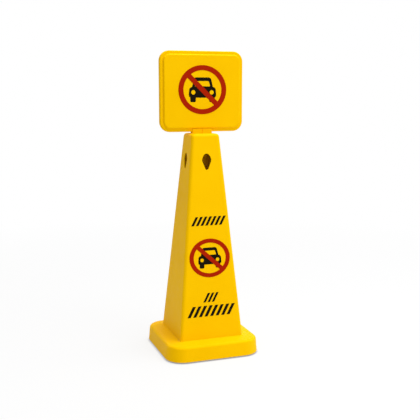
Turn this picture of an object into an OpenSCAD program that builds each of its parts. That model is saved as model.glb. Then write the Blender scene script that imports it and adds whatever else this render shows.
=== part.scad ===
// Cone sign: a hollow four-sided plastic cone on a square base, with a sign board that lifts out of its top.
// Millimetres, +Z up, the front is -Y, and the origin lies on the floor under the middle of the base.

/* [Base] */
// Width of the square base along its lower edge
base_w = 306; // [296:1:330]
// Width of the base's top around the body
flange_w = 48; // [45:0.25:52]
// Height of the base's upper edge above the floor, before it is rounded
base_edge_z = 51.5; // [47:0.5:52.5]
// Inward lean of the base's side from the lower to the upper edge
base_draft = 4; // [2:0.1:6]
// Rounding of the base's upper edge
base_edge_r = 9; // [6:0.5:12]
// Rounding of the base's lower edge
base_lip_r = 1.4; // [0.5:0.1:2]

/* [Cone body] */
// Height of the flat top of the cone above the floor
cone_h = 700; // [660:5:800]
// Height at which the body stands out of the base
body_foot_z = 55; // [53:0.5:60]
// Side of the square body at its top, before the edge is rounded
body_top_side = 91; // [84:0.5:110]
// Rounding of the body's four long edges
body_corner_r = 10; // [7:0.5:12]
// Rounding of the body's top edge
body_top_r = 11; // [7:0.5:12]
// Wall of the cone and the base
wall = 2.5; // [2:0.1:4]
// Thickness of the flat top
top_wall = 3.5; // [2.5:0.1:5]

/* [Keyholes] */
// Depth of each keyhole's widest part below the cone's flat top
keyhole_drop = 80.5; // [79:0.5:140]
// Radius of the widest part
keyhole_r = 15; // [13:0.1:16]
// Radius of the crown above it
keyhole_crown_r = 11; // [9:0.1:12]
// Height of the crown's centre above the widest part
keyhole_crown_rise = 8.5; // [7.5:0.1:11]
// Radius of the narrow foot, where a chain link drops in
keyhole_foot_r = 5.5; // [3:0.1:8]
// Depth of the foot's centre below the widest part
keyhole_foot_drop = 25.5; // [20:0.1:30]

/* [Sign board] */
// Width of the sign board
board_w = 273; // [250:1:300]
// Height of the sign board
board_h = 250; // [230:1:280]
// Rounding of the board's corners
board_corner_r = 32; // [29:1:40]
// Thickness of the board across its rim
board_rim_t = 16; // [15:0.5:20]
// Thickness of the board across its raised faces
board_t = 27; // [25:0.5:31]
// Width of the rim around each raised face
board_rim_w = 10.5; // [9:0.5:13]
// Gap that shows between the cone's top and the board
board_gap = 5.5; // [3:0.5:9]
// Wall of the board's two shells
board_wall = 2.5; // [2:0.1:3]
// Depth of the ribs inside the shells
rib_depth = 5; // [3:0.1:5.4]

/* [Stem] */
// Width of the neck block that shows under the board
neck_w = 66; // [62:1:70]
// Thickness of the neck block
neck_t = 22; // [21:0.5:24]
// Width of the plug that goes down into the cone
plug_w = 58; // [52:1:60]
// Thickness of the plug
plug_t = 18; // [16:0.5:20]
// Length of the plug below the neck
plug_len = 54; // [40:1:56]
// Length of the socket that takes the plug
socket_len = 57; // [56.5:0.5:62]
// Wall of the plug and of its socket
socket_wall = 2.5; // [2:0.1:3]
// Running gap between the plug and its socket
socket_fit = 0.4; // [0.3:0.05:0.8]
// Width of the stem's plate inside the board
stem_w = 56; // [48:1:60]
// Thickness of the stem's plate
stem_t = 10.4; // [8:0.1:10.6]
// Height of the stem's plate inside the board
stem_len = 82; // [64:1:110]

/* [Ballast ring] */
// Height of the ballast ring
ballast_h = 38; // [34:0.5:40]
// Gap between the ballast ring and the base around it
ballast_fit = 0.5; // [0.3:0.1:1]

/* [Feet] */
// Radius of each rubber foot
foot_r = 15; // [12:0.5:17]
// Thickness of each foot's pad
foot_h = 8; // [6:0.5:10]
// Distance by which the feet lift the base off the floor
foot_proud = 4; // [2:0.25:5]

/* [Screws] */
// Radius of the screws that hold the ballast ring
ballast_screw_r = 2.4; // [2:0.1:3]
// Radius of the screws that close the board
board_screw_r = 1.75; // [1.5:0.05:2]

/* [Hidden] */
$fn = 48;

// Segments in each rounded corner of an outline, and facets round a blended corner
arc_steps = 6;
blend_fn = 32;
// Length by which a cut runs past the face it opens, and thickness of a blend's slices
overrun = 2;
sliver = 0.01;

// Colours
yellow = "#f6c20c";
rubber_black = "#2b2a28";
ballast_grey = "#3d3b38";
steel = "#b9bbbd";

// Base: the body's corners and the base's corners share their centres
body_foot_side = base_w - 2 * flange_w;
base_corner_r = flange_w + body_corner_r;
skirt_z = foot_proud;
flange_slope = (body_foot_z - base_edge_z) / (flange_w - base_draft);
band_lap = 1;

// Body: inward lean of each face for each unit of height
taper = (body_foot_side - body_top_side) / 2 / (cone_h - body_foot_z);
lean = atan(taper);
keyhole_z = cone_h - keyhole_drop;

// Socket
slot_w = plug_w + 2 * socket_fit;
slot_t = plug_t + 2 * socket_fit;
slot_r = 3;
plug_r = slot_r - socket_fit;
plug_lead = 5;
plug_slit = 1.6;
web_t = 2.4;
web_share = 0.75;
web_z = cone_h - socket_len * web_share;

// Ballast ring and its screws
ballast_lift = 1;
ballast_z = skirt_z + ballast_lift;
ballast_top = ballast_z + ballast_h;
ballast_head_r = 4.6;
ballast_head_h = 3.2;
ballast_head_depth = 12;
ballast_head_z = ballast_z + ballast_head_depth;
boss_r = 6;
boss_fit = 0.3;
boss_seat = 7;
boss_z = ballast_head_z + boss_seat;
boss_at = base_w / 2 - flange_w / 2;
ballast_bite = 16;
ballast_screw_len = boss_seat + ballast_bite;
screw_fit = 0.05;
head_fit = 0.6;

// Feet
foot_share = 0.35;
foot_at = base_w / 2 - base_corner_r * (1 - foot_share);
foot_edge_r = 1.2;
foot_peg_r = 4;
foot_peg_h = 10;
foot_fit = 0.1;

// Board
board_z = cone_h + board_gap + board_h / 2;
rim_half = board_rim_t / 2;
board_half_t = board_t / 2;
riser_draft = 1.2;
rim_edge_r = 3;
face_edge_r = 3.5;
step_r = 1.2;
face_lap = 6;
face_band = board_rim_w + riser_draft + board_wall + face_lap;
face_w = board_w - 2 * face_band + face_lap;
face_h = board_h - 2 * face_band + face_lap;
neck_fit = 0.2;
neck_r = 4;
neck_h = board_gap + board_rim_w - neck_fit;
neck_groove_w = 2.4;
neck_groove_d = 1.6;
rib_t = 1.8;

// Board screws, in the board's own plane
screw_inset = 18;
screw_x = board_w / 2 - board_rim_w - screw_inset;
screw_y = board_h / 2 - board_rim_w - screw_inset;
board_screw_places = [for (sx = [-1, 1], row = [-1, 0, 1]) [sx * screw_x, row * screw_y]];
stem_screw_shares = [0.3, 0.6];
stem_screw_x = stem_w * stem_screw_shares[0];
stem_screw_y = board_rim_w - board_h / 2 + stem_len * stem_screw_shares[1];
stem_screw_places = [for (sx = [-1, 1]) [sx * stem_screw_x, stem_screw_y]];
post_r = 5;
board_head_r = 3.5;
board_head_h = 2.4;
board_head_depth = 6;
board_head_seat = board_half_t - board_head_depth;
board_bite = 7;
board_screw_len = board_head_seat + board_bite;
shaft_fit = 0.35;

function unit(v) = v / norm(v);

// Turn from angle a to angle b the short way round
function short_turn(a, b) = b - a > 180 ? b - a - 360 : b - a < -180 ? b - a + 360 : b - a;

// Points of the arc of radius r that rounds the corner p between its neighbours a and b
function corner_arc(a, p, b, r) =
    let (u = unit(a - p), v = unit(b - p))
    let (half = acos(u * v) / 2)
    let (centre = p + unit(u + v) * r / sin(half))
    let (from = p + u * r / tan(half) - centre)
    let (to = p + v * r / tan(half) - centre)
    let (start = atan2(from[1], from[0]))
    let (turn = short_turn(start, atan2(to[1], to[0])))
    [for (i = [0 : arc_steps])
        let (a = start + turn * i / arc_steps)
        centre + r * [cos(a), sin(a)]];

// Points of an arc between two angles, about a centre at height y on the upright axis
function arc_points(y, r, from, to) =
    [for (i = [0 : 2 * arc_steps])
        let (a = from + (to - from) * i / (2 * arc_steps))
        [r * cos(a), y + r * sin(a)]];

// Outline whose corners are given as [point, radius]
function rounded(corners) =
    let (n = len(corners))
    [for (i = [0 : n - 1])
        let (p = corners[i][0], r = corners[i][1])
        each r > 0 ? corner_arc(corners[(i + n - 1) % n][0], p, corners[(i + 1) % n][0], r) : [p]];

// Half the body's side at a height
function body_half(z) = body_foot_side / 2 - taper * (z - body_foot_z);

// Half a web's length at a height: it ends in the middle of the body's wall
function web_half(z) = body_half(z) - wall / 2;

// Height of the base's top surface at a distance in from its lower edge
function flange_top(d) = base_edge_z + flange_slope * (d - base_draft);

// Slices [half side, corner radius, height] that round a tapered body's top edge with radius r
function crown_slices(top, inset, corner, r) =
    let (cz = top - r)
    let (ch = body_half(cz) - inset - r / cos(lean))
    [for (i = [0 : arc_steps])
        let (a = lean + (90 - lean) * i / arc_steps)
        [ch + r * cos(a), max(sliver, corner - r + r * cos(a)), cz + r * sin(a) - sliver]];

// Solid through square slices with rounded corners
module loft(slices) {
    hull()
        for (s = slices, sx = [-1, 1], sy = [-1, 1])
            translate([sx * (s[0] - s[1]), sy * (s[0] - s[1]), s[2]])
                cylinder(r = s[1], h = sliver, $fn = blend_fn);
}

// Carries a profile round a rectangle with rounded corners
// The profile's x is measured from the corner's centre
module carry_round(w, h, r) {
    for (i = [0 : 3]) {
        a = (i % 2 == 0 ? w : h) / 2 - r;
        b = (i % 2 == 0 ? h : w) / 2 - r;
        rotate([0, 0, 90 * i])
            translate([a, b, 0]) {
                rotate_extrude(angle = 90)
                    children();
                rotate([90, 0, 0])
                    linear_extrude(2 * b)
                        children();
            }
    }
}

module rounded_rect(w, h, r) {
    square([w - 2 * r, h], center = true);
    square([w, h - 2 * r], center = true);
    for (sx = [-1, 1], sy = [-1, 1])
        translate([sx * (w / 2 - r), sy * (h / 2 - r)])
            circle(r);
}

// Puts a shape drawn in the board's plane, with z outwards, on its front or its rear
module on_front() {
    translate([0, 0, board_z])
        rotate([90, 0, 0])
            children();
}

module on_rear() {
    translate([0, 0, board_z])
        rotate([90, 0, 180])
            children();
}

// Cone shell

module body_outside() {
    low = body_foot_z - wall / 2;
    loft(concat([[body_half(low), body_corner_r, low]], crown_slices(cone_h, 0, body_corner_r, body_top_r)));
}

module body_cavity() {
    inner_r = body_corner_r - wall;
    crown_r = body_top_r - wall;
    low = [body_half(-overrun) - wall, inner_r, -overrun];
    loft(concat([low], crown_slices(cone_h - top_wall, wall, inner_r, crown_r)));
}

// The base is one band: side wall, rounded edge and a gently rising top that runs in under the body's wall
module base_band() {
    edge_x = base_corner_r - base_draft;
    inner_x = body_corner_r - wall - band_lap;
    inner_z = flange_top(base_corner_r - inner_x);
    carry_round(base_w, base_w, base_corner_r)
        polygon(rounded([
            [[base_corner_r, skirt_z], base_lip_r],
            [[edge_x, base_edge_z], base_edge_r],
            [[inner_x, inner_z], 0],
            [[inner_x, inner_z - wall], 0],
            [[edge_x - wall, flange_top(base_draft + wall) - wall], base_edge_r - wall],
            [[base_corner_r - wall, skirt_z], 0]
        ]));
}

// A round crown and a narrow foot, joined to the widest part by straight tangents
module keyhole_outline() {
    rise = asin((keyhole_r - keyhole_crown_r) / keyhole_crown_rise);
    fall = asin((keyhole_r - keyhole_foot_r) / keyhole_foot_drop);
    polygon(concat(
        arc_points(0, keyhole_r, -fall, rise),
        arc_points(keyhole_crown_rise, keyhole_crown_r, rise, 180 - rise),
        arc_points(0, keyhole_r, 180 - rise, 180 + fall),
        arc_points(-keyhole_foot_drop, keyhole_foot_r, 180 + fall, 360 - fall)
    ));
}

module keyholes() {
    for (turn = [0, 90])
        rotate([0, 0, turn])
            translate([0, 0, keyhole_z])
                rotate([90, 0, 0])
                    linear_extrude(body_foot_side, center = true)
                        keyhole_outline();
}

// Socket walls hang from the flat top, held by webs to the four faces
module socket_block() {
    translate([0, 0, cone_h - socket_len])
        linear_extrude(socket_len - top_wall / 2)
            rounded_rect(slot_w + 2 * socket_wall, slot_t + 2 * socket_wall, slot_r + socket_wall);
    web_top = cone_h - top_wall / 2;
    crown_r = body_top_r - wall / 2;
    for (turn = [0, 90])
        rotate([90, 0, turn])
            linear_extrude(web_t, center = true)
                polygon(rounded([
                    [[web_half(web_z), web_z], 0],
                    [[web_half(web_top), web_top], crown_r],
                    [[-web_half(web_top), web_top], crown_r],
                    [[-web_half(web_z), web_z], 0]
                ]));
}

module socket_slot() {
    translate([0, 0, cone_h - socket_len - overrun])
        linear_extrude(socket_len + 2 * overrun)
            rounded_rect(slot_w, slot_t, slot_r);
}

// Places something at the middle of each of the base's four sides
module at_bosses() {
    for (turn = [0 : 90 : 270])
        rotate([0, 0, turn])
            translate([boss_at, 0, 0])
                children();
}

module ballast_bosses() {
    boss_top = flange_top(base_w / 2 - boss_at - boss_r) - wall / 4;
    at_bosses()
        translate([0, 0, boss_z])
            cylinder(r = boss_r, h = boss_top - boss_z);
}

module cone_shell() {
    color(yellow)
        difference() {
            union() {
                difference() {
                    union() {
                        body_outside();
                        base_band();
                    }
                    body_cavity();
                }
                socket_block();
                ballast_bosses();
            }
            socket_slot();
            keyholes();
            at_bosses()
                translate([0, 0, boss_z - overrun])
                    cylinder(r = ballast_screw_r + screw_fit, h = ballast_bite + 2 * overrun);
        }
}

// Ballast ring, screws and feet

module ballast_ring() {
    bottom_x = base_corner_r - wall - ballast_fit;
    top_x = bottom_x - base_draft;
    inner_x = body_corner_r - wall + ballast_fit;
    color(ballast_grey)
        difference() {
            carry_round(base_w, base_w, base_corner_r)
                polygon(rounded([
                    [[inner_x, ballast_z], 0],
                    [[bottom_x, ballast_z], base_lip_r],
                    [[top_x, ballast_top], base_edge_r / 2],
                    [[inner_x, ballast_top], base_lip_r]
                ]));
            at_bosses() {
                translate([0, 0, boss_z])
                    cylinder(r = boss_r + boss_fit, h = ballast_h);
                translate([0, 0, ballast_z - overrun])
                    cylinder(r = ballast_screw_r + shaft_fit, h = ballast_h);
                translate([0, 0, ballast_z - overrun])
                    cylinder(r = ballast_head_r + head_fit, h = ballast_head_z - ballast_z + overrun);
            }
            for (sx = [-1, 1], sy = [-1, 1])
                translate([sx * foot_at, sy * foot_at, 0]) {
                    cylinder(r = foot_r + foot_fit, h = foot_h);
                    cylinder(r = foot_peg_r + foot_fit, h = foot_h + foot_peg_h + foot_fit);
                }
        }
}

// Screw with a domed head, standing on its head's seat and pointing up
module screw(r, head_r, head_h, length) {
    rotate_extrude()
        polygon(rounded([
            [[0, -head_h], 0],
            [[head_r, -head_h], head_h / 2],
            [[head_r, 0], 0],
            [[r, 0], 0],
            [[r, length - 2 * r], 0],
            [[r / 4, length], 0],
            [[0, length], 0]
        ]));
}

module ballast_screws() {
    color(steel)
        at_bosses()
            translate([0, 0, ballast_head_z])
                screw(ballast_screw_r, ballast_head_r, ballast_head_h, ballast_screw_len);
}

module foot(sx, sy) {
    color(rubber_black)
        translate([sx * foot_at, sy * foot_at, 0])
            rotate_extrude()
                polygon(rounded([
                    [[0, 0], 0],
                    [[foot_r, 0], foot_edge_r],
                    [[foot_r, foot_h], 0],
                    [[foot_peg_r, foot_h], 0],
                    [[foot_peg_r, foot_h + foot_peg_h], foot_edge_r],
                    [[0, foot_h + foot_peg_h], 0]
                ]));
}

// Sign board

// Half of the board with z outwards: rim, riser and raised face as one wall
module board_half() {
    riser_x = board_corner_r - board_rim_w;
    face_x = riser_x - riser_draft;
    inner_x = board_corner_r - face_band;
    carry_round(board_w, board_h, board_corner_r)
        polygon(rounded([
            [[board_corner_r, 0], 0],
            [[board_corner_r, rim_half], rim_edge_r],
            [[riser_x, rim_half], step_r],
            [[face_x, board_half_t], face_edge_r],
            [[inner_x, board_half_t], 0],
            [[inner_x, board_half_t - board_wall], 0],
            [[face_x - board_wall, board_half_t - board_wall], 0],
            [[riser_x - board_wall, rim_half - board_wall], 0],
            [[board_corner_r - board_wall, rim_half - board_wall], 0],
            [[board_corner_r - board_wall, 0], 0]
        ]));
    translate([0, 0, board_half_t - board_wall])
        linear_extrude(board_wall)
            rounded_rect(face_w, face_h, inner_x + face_lap / 2);
    board_ribs();
}

// Ribs stand from the middle of the face's wall down into the board
module board_ribs() {
    rib_h = rib_depth + board_wall / 2;
    translate([0, 0, board_half_t - board_wall / 2 - rib_h / 2])
        for (s = [-1, 1]) {
            translate([s * screw_x / 2, 0, 0])
                cube([rib_t, face_h, rib_h], center = true);
            translate([0, s * screw_y / 2, 0])
                cube([face_w, rib_t, rib_h], center = true);
        }
}

// Posts from the raised face's inside down to a level
module posts(places, level) {
    for (p = places)
        translate([p[0], p[1], level])
            cylinder(r = post_r, h = board_half_t - board_wall / 2 - level);
}

// Room for the neck block where it crosses the rim
module neck_notch() {
    translate([0, -board_h / 2, 0])
        cube([neck_w + 2 * neck_fit, 2 * board_rim_w, board_t], center = true);
}

module board_front_shell() {
    pilot_top = board_half_t - board_wall;
    color(yellow)
        on_front()
            difference() {
                union() {
                    board_half();
                    posts(board_screw_places, 0);
                    posts(stem_screw_places, stem_t / 2);
                }
                neck_notch();
                for (p = concat(board_screw_places, stem_screw_places))
                    translate([p[0], p[1], -overrun])
                        cylinder(r = board_screw_r + screw_fit, h = pilot_top + overrun);
            }
}

module board_rear_shell() {
    color(yellow)
        on_rear()
            difference() {
                union() {
                    board_half();
                    posts(board_screw_places, 0);
                    posts(stem_screw_places, stem_t / 2);
                }
                neck_notch();
                for (p = concat(board_screw_places, stem_screw_places))
                    translate([p[0], p[1], 0]) {
                        translate([0, 0, -overrun])
                            cylinder(r = board_screw_r + shaft_fit, h = board_t);
                        translate([0, 0, board_head_seat])
                            cylinder(r = board_head_r + head_fit, h = board_t);
                    }
            }
}

module rear_screws(places) {
    color(steel)
        on_rear()
            for (p = places)
                translate([p[0], p[1], board_head_seat])
                    rotate([180, 0, 0])
                        screw(board_screw_r, board_head_r, board_head_h, board_screw_len);
}

module board_screws() {
    rear_screws(board_screw_places);
}

// Stem

// Plug with a narrowed lower end, open below, and slit so that its two halves can spring
module plug() {
    plug_z = cone_h - plug_len;
    lead_x = plug_w / 2 - plug_lead / 4;
    lead_y = plug_t / 2 - plug_lead / 4;
    difference() {
        intersection() {
            translate([0, 0, plug_z])
                linear_extrude(plug_len + neck_h / 2)
                    rounded_rect(plug_w, plug_t, plug_r);
            rotate([90, 0, 0])
                linear_extrude(plug_w, center = true)
                    plug_side(plug_w / 2, lead_x, plug_z);
            rotate([90, 0, 90])
                linear_extrude(plug_w, center = true)
                    plug_side(plug_t / 2, lead_y, plug_z);
        }
        translate([0, 0, plug_z - overrun])
            linear_extrude(plug_len + overrun - socket_wall)
                rounded_rect(plug_w - 2 * socket_wall, plug_t - 2 * socket_wall, plug_r / 2);
        translate([0, 0, plug_z])
            cube([plug_slit, plug_w, 2 * (plug_len - plug_lead)], center = true);
    }
}

module plug_side(half, lead, low) {
    polygon([
        [-lead, low], [lead, low],
        [half, low + plug_lead], [half, cone_h + neck_h],
        [-half, cone_h + neck_h], [-half, low + plug_lead]
    ]);
}

module neck_block() {
    translate([0, 0, cone_h])
        difference() {
            linear_extrude(neck_h)
                rounded_rect(neck_w, neck_t, neck_r);
            for (sy = [-1, 1])
                translate([0, sy * neck_t / 2, neck_h / 2])
                    cube([neck_groove_w, 2 * neck_groove_d, 2 * neck_h], center = true);
        }
}

module stem_plate() {
    reach = neck_h / 2 + stem_len;
    on_front()
        translate([0, board_rim_w - board_h / 2 + (stem_len - neck_h / 2) / 2, -stem_t / 2])
            linear_extrude(stem_t)
                rounded_rect(stem_w, reach, neck_r);
}

module board_stem() {
    color(yellow)
        difference() {
            union() {
                plug();
                neck_block();
                stem_plate();
            }
            on_front()
                for (p = stem_screw_places)
                    translate([p[0], p[1], 0])
                        cylinder(r = board_screw_r + shaft_fit, h = board_t, center = true);
        }
}

module stem_screws() {
    rear_screws(stem_screw_places);
}

cone_shell();
ballast_ring();
ballast_screws();
foot(-1, -1);  // foot_front_left
foot(1, -1);  // foot_front_right
foot(-1, 1);  // foot_rear_left
foot(1, 1);  // foot_rear_right
board_front_shell();
board_rear_shell();
board_screws();
board_stem();
stem_screws();
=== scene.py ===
# %% [markdown]
# # Dressing a cone sign
# A cone sign is a hollow plastic cone with a sign board plugged into its top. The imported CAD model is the
# frame, and it is never changed here: the outer sizes and places are read from it, and smaller sizes
# repeat those of its source. This lesson models the pieces that show, gives each one the finish of its
# real material, and lights the whole as a plain studio picture.

# %% Load the frame
import math

import bmesh
import bpy
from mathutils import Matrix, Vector


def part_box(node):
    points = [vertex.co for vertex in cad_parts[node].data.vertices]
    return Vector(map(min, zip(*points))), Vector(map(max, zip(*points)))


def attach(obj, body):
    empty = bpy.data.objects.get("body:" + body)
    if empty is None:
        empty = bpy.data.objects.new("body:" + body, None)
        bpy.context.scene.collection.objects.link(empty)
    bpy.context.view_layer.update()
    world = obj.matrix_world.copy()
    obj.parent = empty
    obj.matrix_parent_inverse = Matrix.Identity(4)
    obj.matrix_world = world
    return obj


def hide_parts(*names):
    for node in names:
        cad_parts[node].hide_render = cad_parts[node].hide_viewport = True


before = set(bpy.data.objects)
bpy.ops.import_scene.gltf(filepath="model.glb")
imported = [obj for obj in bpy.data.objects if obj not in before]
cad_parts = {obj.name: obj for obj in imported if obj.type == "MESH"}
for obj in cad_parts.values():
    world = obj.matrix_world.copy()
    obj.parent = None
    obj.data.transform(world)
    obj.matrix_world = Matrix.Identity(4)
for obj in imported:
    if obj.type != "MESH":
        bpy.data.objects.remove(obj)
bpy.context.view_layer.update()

print("CAD nodes:", sorted(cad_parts))

# %% [markdown]
# ## Hand tools
# Blender's operators act on whatever is selected, as a hand tool works on what lies on the bench. So the
# bench is cleared before each piece is taken up. A primitive is added with a place, a turn and a size,
# and settling it moves all three into its mesh, so that each object stays at the origin as the CAD nodes
# do.

# %% Hand tools: the bench
MM = 0.001


def clear_bench():
    """Leave edit mode and let go of everything."""
    if bpy.context.object and bpy.context.object.mode != "OBJECT":
        bpy.ops.object.mode_set(mode="OBJECT")
    bpy.ops.object.select_all(action="DESELECT")


def take(piece):
    """Put one piece alone on the bench."""
    clear_bench()
    piece.select_set(True)
    bpy.context.view_layer.objects.active = piece


def edit(piece):
    """Open the mesh of one piece."""
    take(piece)
    bpy.ops.object.mode_set(mode="EDIT")


def done():
    """Close the mesh that is open."""
    bpy.ops.object.mode_set(mode="OBJECT")


def settle(name):
    """Name the object in hand, and put its place, turn and size into its mesh."""
    piece = bpy.context.object
    piece.name = piece.data.name = name
    bpy.ops.object.transform_apply(location=True, rotation=True, scale=True)
    return piece


def in_mm(lengths):
    """Lengths in rounded millimetres, for a printed line."""
    return [round(length / MM, 1) for length in lengths]


print("bench ready: lengths are in metres, and one millimetre is", MM)

# %% [markdown]
# Inside a mesh, the corners, edges or faces to be worked could be named by index numbers, but those
# change as soon as a segment count does. So they are picked by a rule about their place. Extruding and
# bevelling come up again and again, and get short names of their own.

# %% Hand tools: picking, drawing out and rounding
SAME = 0.02 * MM


def pick(kind, rule):
    """Select the VERT, EDGE or FACE parts for which the rule holds, and only those."""
    bpy.ops.mesh.select_mode(type=kind)
    bpy.ops.mesh.select_all(action="DESELECT")
    mesh = bmesh.from_edit_mesh(bpy.context.edit_object.data)
    parts = {"VERT": mesh.verts, "EDGE": mesh.edges, "FACE": mesh.faces}[kind]
    chosen = [part for part in parts if rule(part)]
    for part in chosen:
        part.select_set(True)
    mesh.select_flush_mode()
    bmesh.update_edit_mesh(bpy.context.edit_object.data)
    return len(chosen)


def anything(part):
    """The rule that picks every part."""
    return True


def at(value, wanted):
    """True if two lengths are the same, or as good as the same."""
    return abs(value - wanted) < SAME


def lies(part, rule):
    """True if the rule holds for each corner of an edge or a face."""
    return all(rule(corner.co) for corner in part.verts)


def flat_at(axis, place):
    """The rule for edges and faces that lie flat at a place along the axis "x", "y" or "z"."""
    return lambda part: lies(part, lambda point: at(getattr(point, axis), place))


def crosses(edge, axis):
    """True if both ends of an edge are at the same place along an axis."""
    first, second = (getattr(corner.co, axis) for corner in edge.verts)
    return at(first, second)


def upright(edge):
    """The rule for edges that run up more than sideways."""
    first, second = (corner.co for corner in edge.verts)
    return abs(first.z - second.z) > abs(first.x - second.x) + abs(first.y - second.y)


def draw_out(x, y, z):
    """Extrude what is picked by these lengths."""
    bpy.ops.mesh.extrude_region_move(TRANSFORM_OT_translate={"value": (x, y, z)})


def round_edges(rule, reach, segments):
    """Pick edges by a rule and round them: reach is how far the rounding goes into each face."""
    count = pick("EDGE", rule)
    bpy.ops.mesh.bevel(offset=reach, segments=segments, affect="EDGES", clamp_overlap=False)
    return count


print("picking ready: lengths count as the same within", SAME / MM, "mm")

# %% [markdown]
# Some shapes are quicker to add or to cut away than to draw in one mesh: a socket under the cone's top, a
# keyhole, a counterbore. For these a second solid is modelled, and the Boolean modifier joins it or cuts
# with it. Smooth shading by angle keeps true corners crisp, and weighted normals keep the large flat
# faces flat where they run into a rounded edge.

# %% Hand tools: joining, cutting and smoothing
CRISP_ANGLE = 30


def work(piece, kind, **settings):
    """Add one modifier, set it up and apply it."""
    take(piece)
    modifier = piece.modifiers.new(kind.title(), kind)
    for key, value in settings.items():
        setattr(modifier, key, value)
    bpy.ops.object.modifier_apply(modifier=modifier.name)


def combine(piece, other, operation):
    """UNION joins the other solid on, DIFFERENCE cuts it away, and the other is then thrown out."""
    work(piece, "BOOLEAN", object=other, operation=operation, solver="EXACT")
    bpy.data.objects.remove(other)


def block(name, size, centre):
    """A box of a size about a centre."""
    clear_bench()
    bpy.ops.mesh.primitive_cube_add(size=1, location=centre, scale=size)
    return settle(name)


def rod(name, radius, length, centre, turn=(0, 0, 0), sides=48):
    """A cylinder about a centre, upright unless it is turned."""
    clear_bench()
    bpy.ops.mesh.primitive_cylinder_add(
        vertices=sides, radius=radius, depth=length, location=centre, rotation=turn)
    return settle(name)


def gather(name, pieces):
    """Join several objects into one mesh."""
    take(pieces[0])
    for piece in pieces:
        piece.select_set(True)
    bpy.ops.object.join()
    pieces[0].name = pieces[0].data.name = name
    return pieces[0]


def smooth(piece):
    """Shade a finished piece, and print what it came to."""
    take(piece)
    bpy.ops.object.shade_smooth_by_angle(angle=math.radians(CRISP_ANGLE))
    work(piece, "WEIGHTED_NORMAL", keep_sharp=True)
    print(piece.name, "has", len(piece.data.polygons), "faces and measures", in_mm(piece.dimensions), "mm")


print("joining and smoothing ready: edges sharper than", CRISP_ANGLE, "degrees stay crisp")

# %% [markdown]
# ## The cone's outside
# The cone is one thin moulding: a square skirt with large round corners, a low flange that rises to the
# body, and four faces that lean in to a flat top. A lathe shape would lose the flat faces, and stacked
# boxes would lose the rounded edges. So it starts as a square with rounded corners, and insets carry that
# outline inwards: each inset keeps the corner centres, so the corner radius shrinks by just as much, as
# on the real mould.

# %% Cone: skirt and flange
low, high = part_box("cone_shell")
BASE_SIDE = high.x - low.x
SKIRT_Z = low.z
CONE_TOP = high.z
BASE_CORNER_R = 57.9 * MM
BASE_DRAFT = 3.9 * MM
BASE_EDGE_Z = 51.5 * MM
FLANGE_W = 47.9 * MM
BODY_FOOT_Z = 55 * MM
CORNER_SEGMENTS = 14

clear_bench()
bpy.ops.mesh.primitive_plane_add(size=BASE_SIDE, location=(0, 0, SKIRT_Z))
cone = settle("cone_moulding")
edit(cone)
pick("VERT", anything)
bpy.ops.mesh.bevel(offset=BASE_CORNER_R, segments=CORNER_SEGMENTS, affect="VERTICES")
pick("FACE", anything)
bpy.ops.mesh.inset(thickness=BASE_DRAFT)
bpy.ops.transform.translate(value=(0, 0, BASE_EDGE_Z - SKIRT_Z))
bpy.ops.mesh.inset(thickness=FLANGE_W - BASE_DRAFT)
bpy.ops.transform.translate(value=(0, 0, BODY_FOOT_Z - BASE_EDGE_Z))
done()
print("skirt and flange measure", in_mm(cone.dimensions), "mm")

# %% [markdown]
# The body is the inner outline drawn straight up. Its top could be scaled down, but that would shrink the
# rounding of its corners too. Moving each of the four upper corners inwards as a whole leans the faces
# and keeps the same small rounding along the four edges. The long edges catch the light as thin bright
# lines, so the upper edge of the base, the foot of the body and the top edge are rounded as well.

# %% Cone: leaning body and rounded edges
BODY_TOP_SIDE = 91 * MM
TAPER = (BASE_SIDE / 2 - FLANGE_W - BODY_TOP_SIDE / 2) / (CONE_TOP - BODY_FOOT_Z)
LEAN = math.atan(TAPER)
# Height, reach and segments of each rounding.
CONE_ROUNDINGS = ((BASE_EDGE_Z, 7.6 * MM, 8), (BODY_FOOT_Z, 2 * MM, 4), (CONE_TOP, 9.4 * MM, 8))


def face_out(height):
    """Distance of the cone's four faces from its axis at a height."""
    return BODY_TOP_SIDE / 2 + TAPER * (CONE_TOP - height)


edit(cone)
pick("FACE", flat_at("z", BODY_FOOT_Z))
draw_out(0, 0, CONE_TOP - BODY_FOOT_Z)
step_in = face_out(BODY_FOOT_Z) - face_out(CONE_TOP)
for side in (-1, 1):
    for end in (-1, 1):
        pick("VERT", lambda corner: at(corner.co.z, CONE_TOP)
             and corner.co.x * side > 0 and corner.co.y * end > 0)
        bpy.ops.transform.translate(value=(-side * step_in, -end * step_in, 0))
for height, reach, segments in CONE_ROUNDINGS:
    round_edges(flat_at("z", height), reach, segments)
done()
print("body leans", round(math.degrees(LEAN), 2), "degrees, faces so far:", len(cone.data.polygons))

# %% [markdown]
# ## The cone's wall
# The moulding is 2.5 mm thick and open below, so that cones stack. An inner skin could be modelled too,
# but Solidify makes it from the outer one, evenly thick, and closes it with a rim near the floor. The
# outer edge of that rim is then eased as a mould would leave it.

# %% Cone: wall and lower lip
WALL = 2.5 * MM
LIP_EASE = 1.2 * MM


def beyond(x, y, half_x, half_y, radius):
    """How far a point lies outside a rectangle with rounded corners, or below zero inside it."""
    over_x = max(abs(x) - half_x + radius, 0)
    over_y = max(abs(y) - half_y + radius, 0)
    return math.hypot(over_x, over_y) - radius


def on_lip(point):
    """True on the outer edge of the rim."""
    return at(point.z, SKIRT_Z) and at(
        beyond(point.x, point.y, BASE_SIDE / 2, BASE_SIDE / 2, BASE_CORNER_R), 0)


work(cone, "SOLIDIFY", thickness=WALL, offset=-1, use_even_offset=True, use_quality_normals=True)
edit(cone)
count = round_edges(lambda edge: lies(edge, on_lip), LIP_EASE, segments=3)
done()
print("lower lip eased along", count, "edges")

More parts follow.
